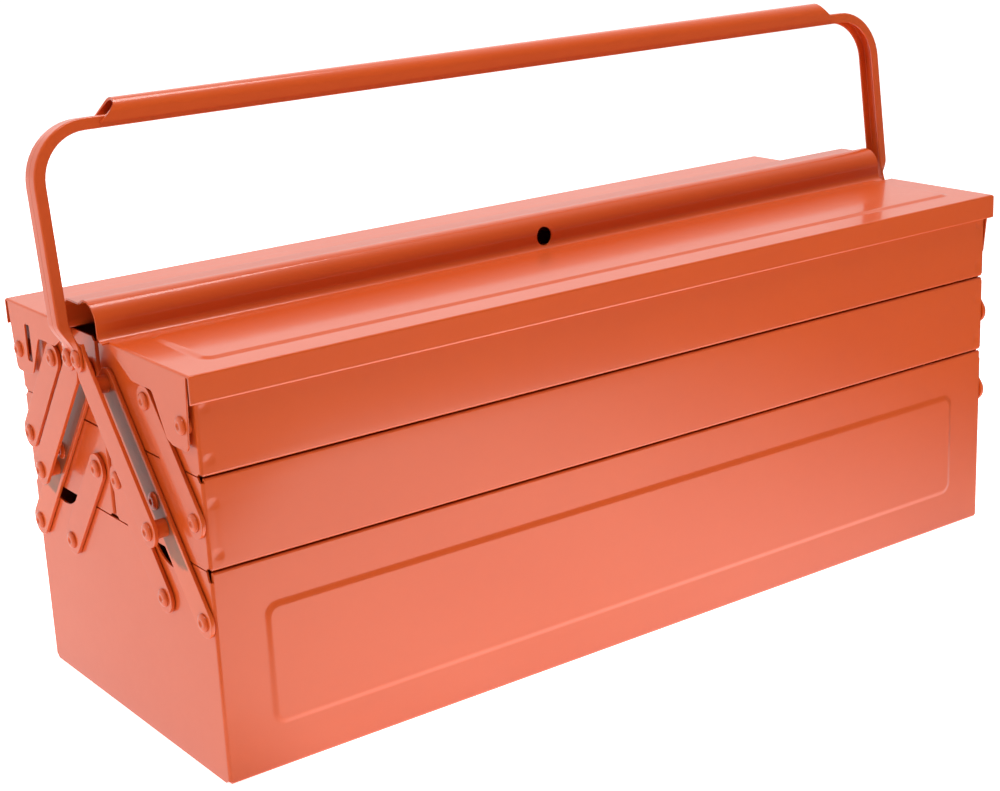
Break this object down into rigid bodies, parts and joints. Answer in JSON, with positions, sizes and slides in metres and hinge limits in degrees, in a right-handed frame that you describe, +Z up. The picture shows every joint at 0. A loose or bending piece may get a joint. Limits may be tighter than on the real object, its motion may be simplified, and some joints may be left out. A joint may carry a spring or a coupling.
{
  "type": "cantilever tool box",
  "caption": "Folded steel tool box whose tiers of lidded trays swing out to both sides of a deep base on riveted arms, carried by a split bail handle.",
  "frame": {"origin": "centre of the base on the surface that it stands on", "axes": "+X along the box to its right end, -Y to the front, +Z up"},
  "size_m": [0.58, 0.2092, 0.3188],
  "materials": {
    "body_shell": "glossy orange powder coat",
    "linkage": "glossy orange powder coat on flat straps",
    "handle": "glossy orange powder coat on folded section",
    "rivets": "painted steel rivets"
  },
  "bodies": {
    "base": {"base_tray": "body_shell", "base_end_left": "body_shell", "base_end_right": "body_shell", "base_pivot_rivets": "rivets"},
    "front_arms": {"front_long_arm_left": "linkage", "front_long_arm_right": "linkage", "front_handle_strap_left": "linkage", "front_handle_strap_right": "linkage", "front_arm_rivets": "rivets", "front_handle_bar": "handle", "front_handle_grip": "handle"},
    "front_middle_tray": {"front_middle_tray": "body_shell", "front_middle_tray_end_left": "body_shell", "front_middle_tray_end_right": "body_shell", "front_middle_tray_rivets": "rivets"},
    "front_top_tray": {"front_top_tray": "body_shell", "front_top_tray_end_left": "body_shell", "front_top_tray_end_right": "body_shell", "front_top_tray_rivets": "rivets"},
    "front_upper_links": {"front_upper_link_left": "linkage", "front_upper_link_right": "linkage"},
    "front_lower_links": {"front_lower_link_left": "linkage", "front_lower_link_right": "linkage"},
    "front_lid": {"front_lid_panel": "body_shell", "front_lid_hook": "body_shell", "front_lid_end_left": "body_shell", "front_lid_end_right": "body_shell"},
    "rear_arms": {"rear_long_arm_left": "linkage", "rear_long_arm_right": "linkage", "rear_handle_strap_left": "linkage", "rear_handle_strap_right": "linkage", "rear_arm_rivets": "rivets", "rear_handle_bar": "handle", "rear_handle_grip": "handle"},
    "rear_middle_tray": {"rear_middle_tray": "body_shell", "rear_middle_tray_end_left": "body_shell", "rear_middle_tray_end_right": "body_shell", "rear_middle_tray_rivets": "rivets"},
    "rear_top_tray": {"rear_top_tray": "body_shell", "rear_top_tray_end_left": "body_shell", "rear_top_tray_end_right": "body_shell", "rear_top_tray_rivets": "rivets"},
    "rear_upper_links": {"rear_upper_link_left": "linkage", "rear_upper_link_right": "linkage"},
    "rear_lower_links": {"rear_lower_link_left": "linkage", "rear_lower_link_right": "linkage"},
    "rear_lid": {"rear_lid_panel": "body_shell", "rear_lid_hook": "body_shell", "rear_lid_end_left": "body_shell", "rear_lid_end_right": "body_shell"}
  },
  "joints": [
    {"name": "front_arms_swing", "type": "hinge", "parent": "base", "child": "front_arms", "pos_m": [0, -0.094, 0.084], "axis": [1, 0, 0], "range_deg": [0, 78]},
    {"name": "front_middle_tray_level", "type": "hinge", "parent": "front_arms", "child": "front_middle_tray", "pos_m": [0, -0.053, 0.1343], "axis": [1, 0, 0], "range_deg": [-80, 2]},
    {"name": "front_top_tray_level", "type": "hinge", "parent": "front_arms", "child": "front_top_tray", "pos_m": [0, -0.012, 0.1846], "axis": [1, 0, 0], "range_deg": [-80, 2]},
    {"name": "front_upper_links_swing", "type": "hinge", "parent": "front_middle_tray", "child": "front_upper_links", "pos_m": [0, -0.094, 0.1343], "axis": [1, 0, 0], "range_deg": [-2, 80]},
    {"name": "front_lower_links_swing", "type": "hinge", "parent": "base", "child": "front_lower_links", "pos_m": [0, -0.053, 0.084], "axis": [1, 0, 0], "range_deg": [-2, 80]},
    {"name": "front_lid_open", "type": "hinge", "parent": "front_top_tray", "child": "front_lid", "pos_m": [0, -0.0925, 0.1818], "axis": [1, 0, 0], "range_deg": [0, 90]},
    {"name": "rear_arms_swing", "type": "hinge", "parent": "base", "child": "rear_arms", "pos_m": [0, 0.094, 0.084], "axis": [-1, 0, 0], "range_deg": [0, 78]},
    {"name": "rear_middle_tray_level", "type": "hinge", "parent": "rear_arms", "child": "rear_middle_tray", "pos_m": [0, 0.053, 0.1343], "axis": [-1, 0, 0], "range_deg": [-80, 2]},
    {"name": "rear_top_tray_level", "type": "hinge", "parent": "rear_arms", "child": "rear_top_tray", "pos_m": [0, 0.012, 0.1846], "axis": [-1, 0, 0], "range_deg": [-80, 2]},
    {"name": "rear_upper_links_swing", "type": "hinge", "parent": "rear_middle_tray", "child": "rear_upper_links", "pos_m": [0, 0.094, 0.1343], "axis": [-1, 0, 0], "range_deg": [-2, 80]},
    {"name": "rear_lower_links_swing", "type": "hinge", "parent": "base", "child": "rear_lower_links", "pos_m": [0, 0.053, 0.084], "axis": [-1, 0, 0], "range_deg": [-2, 80]},
    {"name": "rear_lid_open", "type": "hinge", "parent": "rear_top_tray", "child": "rear_lid", "pos_m": [0, 0.0925, 0.1818], "axis": [-1, 0, 0], "range_deg": [0, 90]}
  ],
  "couplings": [
    {"joint": "front_middle_tray_level", "follows": "front_arms_swing", "ratio": -1},
    {"joint": "front_top_tray_level", "follows": "front_arms_swing", "ratio": -1},
    {"joint": "front_upper_links_swing", "follows": "front_arms_swing", "ratio": 1},
    {"joint": "front_lower_links_swing", "follows": "front_arms_swing", "ratio": 1},
    {"joint": "rear_middle_tray_level", "follows": "rear_arms_swing", "ratio": -1},
    {"joint": "rear_top_tray_level", "follows": "rear_arms_swing", "ratio": -1},
    {"joint": "rear_upper_links_swing", "follows": "rear_arms_swing", "ratio": 1},
    {"joint": "rear_lower_links_swing", "follows": "rear_arms_swing", "ratio": 1}
  ]
}
